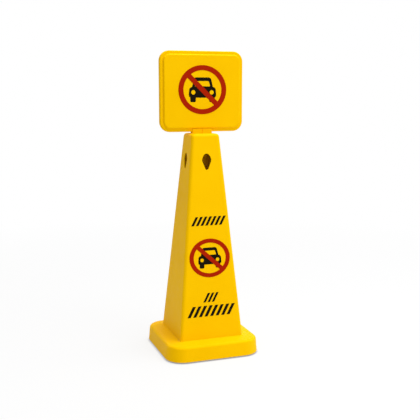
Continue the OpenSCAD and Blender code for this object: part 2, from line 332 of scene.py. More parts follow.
# %% [markdown]
# ## The socket in the cone's top
# The board's plug drops into a rectangular socket that hangs from the flat top, and four webs carry the
# socket to the walls. They are seen from below, and through the slot once the board is lifted out. Drawn
# in the shell's own mesh they would need many new edges, so they are blocks that are joined to the shell,
# and the slot is cut through all of them later.

# %% Cone: socket and webs
SLOT_W, SLOT_T, SLOT_R = 58.8 * MM, 18.8 * MM, 3 * MM
SOCKET_WALL, SOCKET_LEN = 2.5 * MM, 57 * MM
WEB_T, WEB_H, WEB_ROUND = 2.4 * MM, 42.75 * MM, 8 * MM
MID_TOP = CONE_TOP - WALL / 2
WEB_LOW = CONE_TOP - WEB_H

socket_h = SOCKET_LEN - WALL / 2
socket = block("socket", (SLOT_W + 2 * SOCKET_WALL, SLOT_T + 2 * SOCKET_WALL, socket_h),
               (0, 0, MID_TOP - socket_h / 2))
edit(socket)
round_edges(upright, SLOT_R + SOCKET_WALL, segments=6)
done()
combine(cone, socket, "UNION")

on_web_top = flat_at("z", MID_TOP)
web_half = face_out(WEB_LOW) - WALL / 2
narrow = (face_out(MID_TOP) - WALL) / web_half
for axis, size, shrink in (("x", (2 * web_half, WEB_T), (narrow, 1, 1)),
                           ("y", (WEB_T, 2 * web_half), (1, narrow, 1))):
    web = block("web", (*size, MID_TOP - WEB_LOW), (0, 0, (MID_TOP + WEB_LOW) / 2))
    edit(web)
    pick("VERT", lambda corner: at(corner.co.z, MID_TOP))
    bpy.ops.transform.resize(value=shrink)
    round_edges(lambda edge: on_web_top(edge) and crosses(edge, axis), WEB_ROUND, segments=6)
    done()
    combine(cone, web, "UNION")
print("cone with socket and webs has", len(cone.data.polygons), "faces")

# %% [markdown]
# Four screws hold the ballast ring from below, so four bosses hang under the flange. A boss is a rod
# whose upper end is sunk in the flange's wall, and a second rod cuts the pilot hole into its lower end.
# All four are gathered first, so that one Boolean does for them all.

# %% Cone: screw bosses
BOSS_R, BOSS_Z, BOSS_TOP = 6 * MM, 24 * MM, 51.5 * MM
BOSS_AT = (BASE_SIDE - FLANGE_W) / 2
BOSS_PILOT_R, BOSS_PILOT_DEPTH = 2.45 * MM, 18 * MM
BOSSES = [(x * BOSS_AT, y * BOSS_AT) for x, y in ((1, 0), (0, 1), (-1, 0), (0, -1))]

boss_mid = (BOSS_TOP + BOSS_Z) / 2
bosses = [rod("boss", BOSS_R, BOSS_TOP - BOSS_Z, (x, y, boss_mid), sides=24) for x, y in BOSSES]
combine(cone, gather("bosses", bosses), "UNION")
pilots = [rod("pilot", BOSS_PILOT_R, 2 * BOSS_PILOT_DEPTH, (x, y, BOSS_Z), sides=24) for x, y in BOSSES]
combine(cone, gather("pilots", pilots), "DIFFERENCE")
print(len(BOSSES), "bosses stand", round(BOSS_AT / MM, 1), "mm from the axis")

# %% [markdown]
# ## The keyholes
# Each face has a keyhole for a barrier chain: a wide round part where a link goes in, and a narrow foot
# where it hangs. Its outline is three circles joined by straight tangents. It could be drawn point by
# point, but a convex hull around three cylinders gives just that. One long cutter goes through front and
# rear, and a second, turned a quarter, through the sides.

# %% Cone: slot and keyholes
KEYHOLE_Z = CONE_TOP - 80.5 * MM
# Radius of each circle, and its height above the middle of the keyhole.
KEYHOLE_CIRCLES = ((15 * MM, 0), (11 * MM, 8.5 * MM), (5.5 * MM, -25.5 * MM))

slot_h = SOCKET_LEN + 2 * WALL
slot = block("slot", (SLOT_W, SLOT_T, slot_h), (0, 0, CONE_TOP + WALL - slot_h / 2))
edit(slot)
round_edges(upright, SLOT_R, segments=6)
done()
combine(cone, slot, "DIFFERENCE")

for quarter in (0, math.pi / 2):
    cutter = gather("keyhole", [
        rod("circle", radius, BASE_SIDE, (0, 0, KEYHOLE_Z + rise), turn=(math.pi / 2, 0, quarter))
        for radius, rise in KEYHOLE_CIRCLES])
    edit(cutter)
    pick("VERT", anything)
    bpy.ops.mesh.convex_hull()
    done()
    combine(cone, cutter, "DIFFERENCE")
print("cone with slot and keyholes has", len(cone.data.polygons), "faces")

# %% [markdown]
# A sharp plastic edge would neither mould well nor last, so the rims of the keyholes and of the slot are
# eased. The Bevel modifier would round every sharp edge alike, so these edges are picked by their place:
# on a leaning face within a keyhole's reach, or on the flat top within the slot's size.

# %% Cone: eased rims
KEYHOLE_HALF_W = max(radius for radius, rise in KEYHOLE_CIRCLES)
KEYHOLE_REACH = 3 * KEYHOLE_HALF_W
KEYHOLE_EASE, SLOT_EASE = 0.7 * MM, 0.8 * MM


def on_keyhole_rim(point):
    """True on a leaning face, within a keyhole's width and near its height."""
    out, across = max(abs(point.x), abs(point.y)), min(abs(point.x), abs(point.y))
    return (at(out, face_out(point.z)) and across < KEYHOLE_HALF_W + SAME
            and abs(point.z - KEYHOLE_Z) < KEYHOLE_REACH)


def on_slot_rim(point):
    """True on the flat top, within the slot's size."""
    return (at(point.z, CONE_TOP) and abs(point.x) < SLOT_W / 2 + SAME
            and abs(point.y) < SLOT_T / 2 + SAME)


edit(cone)
count = round_edges(lambda edge: lies(edge, on_keyhole_rim), KEYHOLE_EASE, segments=2)
count += round_edges(lambda edge: lies(edge, on_slot_rim), SLOT_EASE, segments=2)
done()
smooth(cone)
print("eased", count, "rim edges")

# %% [markdown]
# ## The board's two shells
# The board is two shallow trays, moulded alike and closed on each other, so a fine seam runs round the
# middle of its edge. Each has a thin rim and then a raised face. A bevelled block would have neither the
# rim nor the draft, so a tray starts from the seam's outline: one extrusion makes the rim, an inset finds
# the foot of the raised face, and a second inset, moved outwards, lifts the face with its draft.
# Extruding a lone face leaves a copy of it behind, which would close the tray at its seam, so that copy
# is deleted.

# %% Board: skin of each tray
low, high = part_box("board_front_shell")
BOARD_W, BOARD_H = high.x - low.x, high.z - low.z
BOARD_Z = (low.z + high.z) / 2
BOARD_CORNER_R = 32 * MM
FACE_Y = -low.y
RIM_HALF, RIM_W = 8 * MM, 10.5 * MM
RISER_DRAFT = 1.2 * MM


def tray_skin(name, out):
    """The outside of one tray: out is -1 for the front and 1 for the rear."""
    clear_bench()
    bpy.ops.mesh.primitive_plane_add(size=1, location=(0, 0, BOARD_Z), rotation=(-out * math.pi / 2, 0, 0))
    bpy.context.object.scale = (BOARD_W, BOARD_H, 1)
    tray = settle(name)
    edit(tray)
    pick("VERT", anything)
    bpy.ops.mesh.bevel(offset=BOARD_CORNER_R, segments=CORNER_SEGMENTS, affect="VERTICES")
    pick("FACE", anything)
    draw_out(0, out * RIM_HALF, 0)
    pick("FACE", flat_at("y", 0))
    bpy.ops.mesh.delete(type="FACE")
    pick("FACE", flat_at("y", out * RIM_HALF))
    bpy.ops.mesh.inset(thickness=RIM_W)
    bpy.ops.mesh.inset(thickness=RISER_DRAFT)
    bpy.ops.transform.translate(value=(0, out * (FACE_Y - RIM_HALF), 0))
    done()
    return tray


board_front = tray_skin("board_front_moulding", -1)
board_rear = tray_skin("board_rear_moulding", 1)
TRAYS = ((board_front, -1), (board_rear, 1))
print("trays measure", in_mm(board_front.dimensions), "mm")

# %% [markdown]
# The edges of the face and of the rim are rounded, and so is the foot of the face, where the melt has to
# turn the corner. Solidify then gives the skin its wall on the inside. A tiny bevel along the seam lets
# it show as a fine line, and a notch in the lower rim lets the neck through.

# %% Board: edges, wall and notch
BOARD_WALL = 2.5 * MM
FACE_ROUND, FOOT_ROUND, RIM_ROUND, SEAM_EASE = 2.8 * MM, 1 * MM, 3 * MM, 0.5 * MM
NECK_W, NECK_T, NECK_H = 66 * MM, 22 * MM, 15.8 * MM
NECK_FIT = 0.2 * MM


def depth_in(point):
    """How far a point lies inside the board's outline."""
    return -beyond(point.x, point.z - BOARD_Z, BOARD_W / 2, BOARD_H / 2, BOARD_CORNER_R)


for tray, out in TRAYS:
    on_rim, on_seam = flat_at("y", out * RIM_HALF), flat_at("y", 0)
    edit(tray)
    round_edges(flat_at("y", out * FACE_Y), FACE_ROUND, segments=5)
    round_edges(lambda edge: on_rim(edge) and lies(edge, lambda point: depth_in(point) > RIM_W / 2),
                FOOT_ROUND, segments=3)
    round_edges(lambda edge: on_rim(edge) and lies(edge, lambda point: depth_in(point) < RIM_W / 2),
                RIM_ROUND, segments=5)
    done()
    work(tray, "SOLIDIFY", thickness=BOARD_WALL, offset=-1, use_even_offset=True)
    edit(tray)
    count = round_edges(
        lambda edge: on_seam(edge) and lies(edge, lambda point: depth_in(point) < BOARD_WALL / 2),
        SEAM_EASE, segments=1)
    done()
    notch = block("notch", (NECK_W + 2 * NECK_FIT, 4 * FACE_Y, 2 * RIM_W), (0, 0, BOARD_Z - BOARD_H / 2))
    combine(tray, notch, "DIFFERENCE")
    print(tray.name, "has a seam of", count, "edges")

# %% [markdown]
# Inside, each tray has two ribs each way that keep its face flat, and eight posts for the screws that
# close the board and hold its stem. They are hidden while the board is closed, but a tray that is taken
# off shows them. A rib is a block and a post is a rod, and each reaches to the middle of the face's wall.
# A Boolean can leave a mesh open where two faces lie in one plane, so the roots are sunk in the wall, and
# the pilot holes of the front posts stop just short of it.

# %% Board: ribs and posts
ACROSS = (math.pi / 2, 0, 0)
SCREW_X, SCREW_Z = 108 * MM, 96.5 * MM
STEM_SCREW_X, STEM_SCREW_DROP = 16.8 * MM, 65.3 * MM
BOARD_SCREWS = [(side * SCREW_X, BOARD_Z + row * SCREW_Z) for side in (-1, 1) for row in (-1, 0, 1)]
STEM_SCREWS = [(side * STEM_SCREW_X, BOARD_Z - STEM_SCREW_DROP) for side in (-1, 1)]
ALL_SCREWS = BOARD_SCREWS + STEM_SCREWS
POST_R, PILOT_R, PILOT_DEPTH = 5 * MM, 1.8 * MM, 10.5 * MM
STEM_HALF_T = 5.2 * MM
RIB_T, RIB_H, RIB_END = 1.8 * MM, 6.25 * MM, 17.2 * MM
ROOT_Y = FACE_Y - BOARD_WALL / 2

for tray, out in TRAYS:
    for places, foot in ((BOARD_SCREWS, 0), (STEM_SCREWS, STEM_HALF_T)):
        middle = out * (ROOT_Y + foot) / 2
        posts = [rod("post", POST_R, ROOT_Y - foot, (x, middle, z), ACROSS, sides=32) for x, z in places]
        combine(tray, gather("posts", posts), "UNION")
    for side in (-1, 1):
        for size, x, z in (((RIB_T, RIB_H, BOARD_H - 2 * RIB_END), side * SCREW_X / 2, 0),
                           ((BOARD_W - 2 * RIB_END, RIB_H, RIB_T), 0, side * SCREW_Z / 2)):
            combine(tray, block("rib", size, (x, out * (ROOT_Y - RIB_H / 2), BOARD_Z + z)), "UNION")

pilots = [rod("pilot", PILOT_R, 2 * PILOT_DEPTH, (x, 0, z), ACROSS, sides=24) for x, z in ALL_SCREWS]
combine(board_front, gather("pilots", pilots), "DIFFERENCE")
smooth(board_front)

# %% [markdown]
# The screws go in from the rear, so each post of the rear tray has a stepped hole. Two cuts could make
# it, but the cutter is a rod whose inner end is inset and drawn on, so that one cut leaves both the wide
# mouth and the narrow hole. The mouths are eased as the keyholes are.

# %% Board: counterbores in the rear tray
MOUTH_R, HOLE_R, MOUTH_EASE = 4.1 * MM, 2.1 * MM, 0.4 * MM
SEAT_Y = FACE_Y - 6 * MM


def on_mouth(point):
    """True on the rear face, no further from a screw's axis than the edge of its mouth."""
    return at(point.y, FACE_Y) and any(
        math.hypot(point.x - x, point.z - z) < MOUTH_R + SAME for x, z in ALL_SCREWS)


mouth_len = FACE_Y + WALL - SEAT_Y
mouth_mid = SEAT_Y + mouth_len / 2
mouths = [rod("mouth", MOUTH_R, mouth_len, (x, mouth_mid, z), ACROSS, sides=32) for x, z in ALL_SCREWS]
cutters = gather("mouths", mouths)
edit(cutters)
pick("FACE", flat_at("y", SEAT_Y))
bpy.ops.mesh.inset(thickness=MOUTH_R - HOLE_R)
draw_out(0, -SEAT_Y - WALL, 0)
done()
combine(board_rear, cutters, "DIFFERENCE")
edit(board_rear)
count = round_edges(lambda edge: lies(edge, on_mouth), MOUTH_EASE, segments=2)
done()
smooth(board_rear)
print("eased", count, "edges round", len(ALL_SCREWS), "counterbores")

# %% [markdown]
# ## The stem
# One moulding joins board and cone: a plate held between the trays, the neck block that shows under the
# board, and a hollow plug, slit so that its two halves spring a little. Its three parts start as three
# blocks. The plug's lower end is drawn in, so that it finds its socket. An inset and an inward extrusion
# then hollow it from below, which leaves an even wall above that end.

# %% Stem: plug
PLUG_W, PLUG_T, PLUG_LEN, PLUG_R = 58 * MM, 18 * MM, 54 * MM, 2.6 * MM
PLUG_LEAD = 5 * MM
SLIT_W = 1.6 * MM
PLUG_LOW = CONE_TOP - PLUG_LEN
NECK_MID = CONE_TOP + NECK_H / 2

narrow_by = PLUG_LEAD / 2
plug = block("plug", (PLUG_W, PLUG_T, NECK_MID - PLUG_LOW - PLUG_LEAD),
             (0, 0, (NECK_MID + PLUG_LOW + PLUG_LEAD) / 2))
edit(plug)
round_edges(upright, PLUG_R, segments=4)
pick("FACE", flat_at("z", PLUG_LOW + PLUG_LEAD))
draw_out(0, 0, -PLUG_LEAD)
bpy.ops.transform.resize(value=((PLUG_W - narrow_by) / PLUG_W, (PLUG_T - narrow_by) / PLUG_T, 1))
bpy.ops.mesh.inset(thickness=SOCKET_WALL - narrow_by / 2)
draw_out(0, 0, PLUG_LEN - SOCKET_WALL)
done()
slit_h = PLUG_LEN - PLUG_LEAD
combine(plug, block("slit", (SLIT_W, PLUG_W, 2 * slit_h), (0, 0, PLUG_LOW)), "DIFFERENCE")
print("plug hangs to", round(PLUG_LOW / MM, 1), "mm and is slit for", round(slit_h / MM, 1), "mm")

# %% [markdown]
# The neck has soft corners and a shallow groove down the middle of its front and rear. Plug and plate
# both reach to the middle of the neck, so that the Booleans have solid to join and leave one closed mesh.
# Two holes in the plate let the stem screws through.

# %% Stem: neck, plate and union
NECK_ROUND, NECK_EASE, PLATE_ROUND = 4 * MM, 0.5 * MM, 4 * MM
GROOVE_W, GROOVE_D = 2.4 * MM, 1.6 * MM
STEM_W, STEM_LEN = 56 * MM, 82 * MM
PLATE_TOP = BOARD_Z - BOARD_H / 2 + RIM_W + STEM_LEN

on_neck_foot, on_neck_top = flat_at("z", CONE_TOP), flat_at("z", CONE_TOP + NECK_H)
stem = block("board_stem_moulding", (NECK_W, NECK_T, NECK_H), (0, 0, NECK_MID))
edit(stem)
round_edges(upright, NECK_ROUND, segments=6)
round_edges(lambda edge: on_neck_foot(edge) or on_neck_top(edge), NECK_EASE, segments=2)
done()
for side in (-1, 1):
    groove = block("groove", (GROOVE_W, 2 * GROOVE_D, 2 * NECK_H), (0, side * NECK_T / 2, NECK_MID))
    combine(stem, groove, "DIFFERENCE")
combine(stem, plug, "UNION")

on_plate_top = flat_at("z", PLATE_TOP)
plate = block("plate", (STEM_W, 2 * STEM_HALF_T, PLATE_TOP - NECK_MID), (0, 0, (PLATE_TOP + NECK_MID) / 2))
edit(plate)
round_edges(lambda edge: on_plate_top(edge) and crosses(edge, "x"), PLATE_ROUND, segments=4)
done()
combine(stem, plate, "UNION")
holes = [rod("hole", HOLE_R, NECK_T, (x, 0, z), ACROSS, sides=32) for x, z in STEM_SCREWS]
combine(stem, gather("holes", holes), "DIFFERENCE")
smooth(stem)

# %% [markdown]
# ## The screws
# All screws are of one kind, a domed head with a cross recess, in two sizes. A profile could be spun, but
# the shape is simple: the head is a short rod with one edge rounded, the shank grows out of it by inset
# and extrusion, and two small bars cut the cross. One screw of each size is modelled and copied to its
# places. A thread would be hidden in its post, so the shank stays plain.

# %% Screws: one blank of each size
# The tip is a share of the shank's radius, and the cross has shares of the head's.
TIP_SHARE = 0.25
CROSS_LONG, CROSS_WIDE = 1.2, 0.3


def screw(name, radius, head_r, head_h, length):
    """A screw with its head's seat at the origin, which points up."""
    piece = rod(name, head_r, head_h, (0, 0, -head_h / 2), sides=32)
    edit(piece)
    round_edges(flat_at("z", -head_h), head_h / 2, segments=4)
    pick("FACE", flat_at("z", 0))
    bpy.ops.mesh.inset(thickness=head_r - radius)
    draw_out(0, 0, length - 2 * radius)
    draw_out(0, 0, 2 * radius)
    bpy.ops.transform.resize(value=(TIP_SHARE, TIP_SHARE, 1))
    done()
    for size in ((CROSS_LONG * head_r, CROSS_WIDE * head_r), (CROSS_WIDE * head_r, CROSS_LONG * head_r)):
        combine(piece, block("cross", (*size, head_h), (0, 0, -head_h)), "DIFFERENCE")
    return piece


small = screw("small_screw", radius=1.75 * MM, head_r=3.5 * MM, head_h=2.4 * MM, length=14.5 * MM)
large = screw("large_screw", radius=2.4 * MM, head_r=4.6 * MM, head_h=3.2 * MM, length=23 * MM)
print("screws measure", in_mm(small.dimensions), "and", in_mm(large.dimensions), "mm")

# %% [markdown]
# A linked copy would share its mesh with the blank and couldn't be settled, so each copy gets a mesh of
# its own. It is turned to point into its hole, and the copies of one kind become one piece.

# %% Screws: copied to their places
BALLAST_HEAD_Z = 17 * MM


def set_screws(name, blank, places, turn):
    """Copy the blank to each place, turned to point into its hole, and make one mesh of the copies."""
    copies = []
    for place in places:
        take(blank)
        bpy.ops.object.duplicate()
        bpy.context.object.location = place
        bpy.context.object.rotation_euler = turn
        copies.append(settle(name))
    piece = gather(name, copies)
    smooth(piece)
    return piece


board_screws = set_screws("board_screw_set", small, [(x, SEAT_Y, z) for x, z in BOARD_SCREWS], ACROSS)
stem_screws = set_screws("stem_screw_set", small, [(x, SEAT_Y, z) for x, z in STEM_SCREWS], ACROSS)
ballast_places = [(x, y, BALLAST_HEAD_Z) for x, y in BOSSES]
ballast_screws = set_screws("ballast_screw_set", large, ballast_places, (0, 0, 0))
for blank in (small, large):
    bpy.data.objects.remove(blank)

# %% [markdown]
# ## The prints
# The sign's figures are thin films of ink. A texture could paint them, but a film with its own small
# thickness stays crisp from near and keeps its place in any program. Each print is drawn flat and upright
# about the origin, facing the front, and is then laid on its surface: upright on the board, leaning on
# the cone. The ring is a disc with its middle taken out. Its slash is a little thinner than the ring,
# because a Boolean can leave a mesh open where two faces lie in one plane.

# %% Prints: prohibition ring
FILM = 0.25 * MM
SLASH_SHARE = 0.9
RING_SIDES = 128


def lay(piece, height, on_cone):
    """Lay a flat print, drawn about the origin, on the board's face or on the cone's leaning front."""
    take(piece)
    piece.location = (0, -face_out(height) if on_cone else -FACE_Y, height)
    piece.rotation_euler = (-LEAN if on_cone else 0, 0, 0)
    settle(piece.name)


def ban_ring(name, half_w, half_h, stroke, thickness):
    """A slightly wide ring with a slash from upper left to lower right."""
    clear_bench()
    bpy.ops.mesh.primitive_circle_add(
        vertices=RING_SIDES, radius=half_h, fill_type="NGON", rotation=ACROSS)
    ring = settle(name)
    edit(ring)
    pick("FACE", anything)
    bpy.ops.mesh.inset(thickness=stroke)
    bpy.ops.mesh.delete(type="FACE")
    pick("FACE", anything)
    draw_out(0, -thickness, 0)
    bpy.ops.mesh.select_all(action="SELECT")
    bpy.ops.mesh.normals_make_consistent(inside=False)
    done()
    clear_bench()
    bpy.ops.mesh.primitive_cube_add(size=1, location=(0, -thickness / 2, 0), rotation=(0, math.pi / 4, 0),
                                    scale=(2 * half_h - stroke, SLASH_SHARE * thickness, stroke))
    combine(ring, settle("slash"), "UNION")
    edit(ring)
    pick("FACE", anything)
    bpy.ops.transform.resize(value=(half_w / half_h, 1, 1))
    done()
    return ring


BOARD_RING_Z, BOARD_RING_W, BOARD_RING_H, BOARD_STROKE = 836 * MM, 158 * MM, 151.6 * MM, 15.6 * MM
CONE_RING_Z, CONE_RING_W, CONE_RING_H, CONE_STROKE = 312.5 * MM, 134.5 * MM, 122.4 * MM, 12.6 * MM
board_ring = ban_ring("board_ring_print", BOARD_RING_W / 2, BOARD_RING_H / 2, BOARD_STROKE, 2 * FILM)
cone_ring = ban_ring("cone_ring_print", CONE_RING_W / 2, CONE_RING_H / 2, CONE_STROKE, 2 * FILM)
lay(board_ring, BOARD_RING_Z, on_cone=False)
lay(cone_ring, CONE_RING_Z, on_cone=True)
for ring in (board_ring, cone_ring):
    smooth(ring)

# %% [markdown]
# Under the slash stands a plain figure of a car seen from the front, as on many road signs. It could be a
# traced outline, but a few plates say it more plainly: a lower body, a cabin and two wheels joined to one
# film, with the windscreen and two lamps cut out. It is half as thick as the ring's film, so the slash
# lies over it as the second colour of a print does.

# %% Prints: car figure
CAR_W = 92 * MM
BOARD_CAR_DROP, CONE_CAR_DROP = 8 * MM, 6 * MM
# The depth of a cutter in thicknesses of the film, and the degrees within which faces count as flat.
CUT_DEPTH = 5
FLAT_ANGLE = 1


def car_figure(name, width, thickness):
    """A car seen from the front: all its sizes are shares of its width."""
    wheel_out, lamp_out, lamp_r = 0.34 * width, 0.33 * width, 0.075 * width

    def plate(wide, tall, centre, top_share, corner):
        """A flat plate with round corners, whose top edge has a share of its width."""
        bar = block(name, (wide * width, thickness, tall * width), (0, -thickness / 2, centre * width))
        edit(bar)
        pick("VERT", lambda end: end.co.z > centre * width)
        bpy.ops.transform.resize(value=(top_share, 1, 1))
        pick("EDGE", lambda edge: not crosses(edge, "y"))
        bpy.ops.mesh.bevel(offset=corner * width, segments=5, affect="EDGES")
        done()
        return bar

    def cut(piece, cutter):
        """Cut through the film with a shape that is made deeper on both sides of it."""
        take(cutter)
        cutter.scale.y = CUT_DEPTH
        cutter.location.y = (CUT_DEPTH - 1) * thickness / 2
        combine(piece, settle("cut"), "DIFFERENCE")

    car = plate(wide=1.0, tall=0.36, centre=0.0, top_share=0.94, corner=0.1)
    combine(car, plate(wide=0.8, tall=0.42, centre=0.29, top_share=0.74, corner=0.07), "UNION")
    for side in (-1, 1):
        wheel = plate(wide=0.2, tall=0.22, centre=-0.22, top_share=1.0, corner=0.05)
        take(wheel)
        wheel.location.x = side * wheel_out
        combine(car, settle("wheel"), "UNION")
        cut(car, rod("lamp", lamp_r, thickness, (side * lamp_out, -thickness / 2, 0), ACROSS, sides=32))
    cut(car, plate(wide=0.56, tall=0.18, centre=0.29, top_share=0.8, corner=0.03))
    edit(car)
    pick("VERT", anything)
    bpy.ops.mesh.dissolve_limited(angle_limit=math.radians(FLAT_ANGLE))
    done()
    return car


board_car = car_figure("board_car_print", CAR_W, FILM)
cone_car = car_figure("cone_car_print", CAR_W * CONE_RING_W / BOARD_RING_W, FILM)
lay(board_car, BOARD_RING_Z - BOARD_CAR_DROP, on_cone=False)
lay(cone_car, CONE_RING_Z - CONE_CAR_DROP, on_cone=True)
for car in (board_car, cone_car):
    smooth(car)

# %% [markdown]
# Three rows of slanted bars, the usual mark of a hazard, stand above and below the ring on the cone. One
# bar is a block whose upper edge is pushed sideways. Copies could be placed one by one, but the Array
# modifier repeats the bar along the row at an even pitch.

# %% Prints: rows of bars
# Name, height above the floor, height of the bars, width of the row and number of bars.
ROWS = (("upper_bars", 429 * MM, 28 * MM, 116 * MM, 7),
        ("short_bars", 187.5 * MM, 29 * MM, 52 * MM, 3),
        ("long_bars", 145 * MM, 34 * MM, 160 * MM, 8))
# A bar's width as a share of the pitch, and its slant as a share of its height.
BAR_SHARE, SLANT = 0.56, 0.55

row_prints = []
for name, height, tall, wide, count in ROWS:
    pitch = (wide - SLANT * tall) / (count - 1 + BAR_SHARE)
    thick = BAR_SHARE * pitch
    bar = block(name, (thick, FILM, tall), ((thick - wide) / 2, -FILM / 2, 0))
    edit(bar)
    pick("VERT", lambda corner: corner.co.z > 0)
    bpy.ops.transform.translate(value=(SLANT * tall, 0, 0))
    done()
    work(bar, "ARRAY", count=count, use_relative_offset=False, use_constant_offset=True,
         constant_offset_displace=(pitch, 0, 0))
    lay(bar, height, on_cone=True)
    smooth(bar)
    row_prints.append(bar)

# %% [markdown]
# ## Finishes
# A material is named for what the real one is. Colours are written as sRGB hex, as a painter would sample
# them, and one function turns them to the linear values that the renderer needs. One more function adds a
# node with its settings and links. Patterns read Object coordinates, which here are true metres, so a
# grain of 1.5 mm has a scale of one over 1.5 mm. Some sockets of a Mix or Math node share one name, so
# they are given by their position.

# %% Finishes: colour and node tools
MIX_SHARE, MIX_FIRST, MIX_SECOND, MIX_RESULT = 0, 6, 7, 2


def linear(code):
    """sRGB hex to linear red, green, blue and alpha."""
    parts = [int(code[start:start + 2], 16) / 255 for start in (1, 3, 5)]
    return (*[part / 12.92 if part <= 0.04045 else ((part + 0.055) / 1.055) ** 2.4 for part in parts], 1.0)


def add(tree, kind, values=None, links=None, **settings):
    """Add a node, set its properties, fill its sockets and link other nodes' outputs to them."""
    node = tree.nodes.new(kind)
    for key, value in settings.items():
        setattr(node, key, value)
    for key, value in (values or {}).items():
        node.inputs[key].default_value = value
    for key, output in (links or {}).items():
        tree.links.new(output, node.inputs[key])
    return node


def new_finish(name):
    """An empty material, its node tree, and the Object coordinates that its patterns read."""
    material = bpy.data.materials.new(name)
    material.use_nodes = True
    material.node_tree.nodes.clear()
    return material, material.node_tree, add(material.node_tree, "ShaderNodeTexCoord").outputs["Object"]


print("middle grey in linear light:", [round(part, 3) for part in linear("#808080")])

# %% [markdown]
# ### Yellow polypropylene
# The cone and the board are injection moulded in polypropylene that is coloured all through. To the eye
# it is a clear warm yellow with a satin skin: the mould's fine texture breaks up reflections, and the
# flow of the melt leaves tones and gloss that drift slowly over some centimetres. In a white studio a
# full neutral gloss would veil the colour like chalk, so the specular level is low and its tint is warm.

# %% Finishes: yellow polypropylene
yellow, tree, place = new_finish("moulded_yellow_polypropylene")
drift = add(tree, "ShaderNodeTexNoise", {"Scale": 1 / (120 * MM), "Detail": 2.0}, {"Vector": place})
flow = add(tree, "ShaderNodeTexNoise", {"Scale": 1 / (18 * MM), "Detail": 3.0}, {"Vector": place})
grain = add(tree, "ShaderNodeTexNoise", {"Scale": 1 / (1.5 * MM), "Detail": 2.0}, {"Vector": place})
gloss = add(tree, "ShaderNodeMapRange", {"From Min": 0.3, "From Max": 0.7, "To Min": 0.46, "To Max": 0.56},
            {"Value": flow.outputs["Fac"]})
skin = add(tree, "ShaderNodeBump", {"Strength": 0.25, "Distance": 0.04 * MM},
           {"Height": grain.outputs["Fac"]})
tones = add(tree, "ShaderNodeMix", {MIX_FIRST: linear("#F4BB00"), MIX_SECOND: linear("#FCC704")},
            {MIX_SHARE: drift.outputs["Fac"]}, data_type="RGBA")
shader = add(tree, "ShaderNodeBsdfPrincipled",
             {"IOR": 1.49, "Specular IOR Level": 0.05, "Specular Tint": linear("#FFC800")},
             {"Base Color": tones.outputs[MIX_RESULT],
              "Roughness": gloss.outputs["Result"], "Normal": skin.outputs["Normal"]})
add(tree, "ShaderNodeOutputMaterial", links={"Surface": shader.outputs["BSDF"]})
print(yellow.name, "has", len(tree.nodes), "nodes")

# %% [markdown]
# ### Rubber
# The ballast ring is pressed from recycled rubber crumb, so it is a dull dark grey with paler crumbs of
# about 3 mm and a pitted skin. Noise would only give clouds, while Voronoi cells give such crumbs, each
# with a tone of its own.

# %% Finishes: ballast rubber
ballast_rubber, tree, place = new_finish("pressed_rubber_crumb")
crumb = add(tree, "ShaderNodeTexVoronoi", {"Scale": 1 / (3 * MM)}, {"Vector": place})
pits = add(tree, "ShaderNodeTexNoise", {"Scale": 1 / (1.2 * MM), "Detail": 3.0}, {"Vector": place})
skin = add(tree, "ShaderNodeBump", {"Strength": 0.5, "Distance": 0.3 * MM},
           {"Height": crumb.outputs["Distance"]})
dull = add(tree, "ShaderNodeMapRange", {"To Min": 0.72, "To Max": 0.9}, {"Value": pits.outputs["Fac"]})
tones = add(tree, "ShaderNodeMix", {MIX_FIRST: linear("#302E2B"), MIX_SECOND: linear("#4E4B47")},
            {MIX_SHARE: crumb.outputs["Color"]}, data_type="RGBA")
shader = add(tree, "ShaderNodeBsdfPrincipled", {"IOR": 1.52, "Specular IOR Level": 0.3},
             {"Base Color": tones.outputs[MIX_RESULT],
              "Roughness": dull.outputs["Result"], "Normal": skin.outputs["Normal"]})
add(tree, "ShaderNodeOutputMaterial", links={"Surface": shader.outputs["BSDF"]})
print(ballast_rubber.name, "has", len(tree.nodes), "nodes")

# %% [markdown]
# The feet are plain moulded rubber: almost black and matt, with a powdery bloom that comes and goes over
# some millimetres. Rubber is evenly dull, so here the roughness is one value, and only tone and pores
# vary.

# %% Finishes: foot rubber
foot_rubber, tree, place = new_finish("moulded_black_rubber")
bloom = add(tree, "ShaderNodeTexNoise", {"Scale": 1 / (6 * MM), "Detail": 4.0}, {"Vector": place})
pores = add(tree, "ShaderNodeTexNoise", {"Scale": 1 / (0.8 * MM)}, {"Vector": place})
skin = add(tree, "ShaderNodeBump", {"Strength": 0.3, "Distance": 0.05 * MM},
           {"Height": pores.outputs["Fac"]})
tones = add(tree, "ShaderNodeMix", {MIX_FIRST: linear("#1E1D1B"), MIX_SECOND: linear("#363431")},
            {MIX_SHARE: bloom.outputs["Fac"]}, data_type="RGBA")
shader = add(tree, "ShaderNodeBsdfPrincipled", {"IOR": 1.52, "Roughness": 0.8, "Specular IOR Level": 0.3},
             {"Base Color": tones.outputs[MIX_RESULT], "Normal": skin.outputs["Normal"]})
add(tree, "ShaderNodeOutputMaterial", links={"Surface": shader.outputs["BSDF"]})
print(foot_rubber.name, "has", len(tree.nodes), "nodes")

# %% [markdown]
# ### Zinc-plated steel
# The screws are steel with bright zinc plating: a cool grey metal that is a little cloudy, because the
# plating grows in patches of a millimetre or so. One noise drives both tone and roughness, since a patch
# that looks paler is also a little duller.

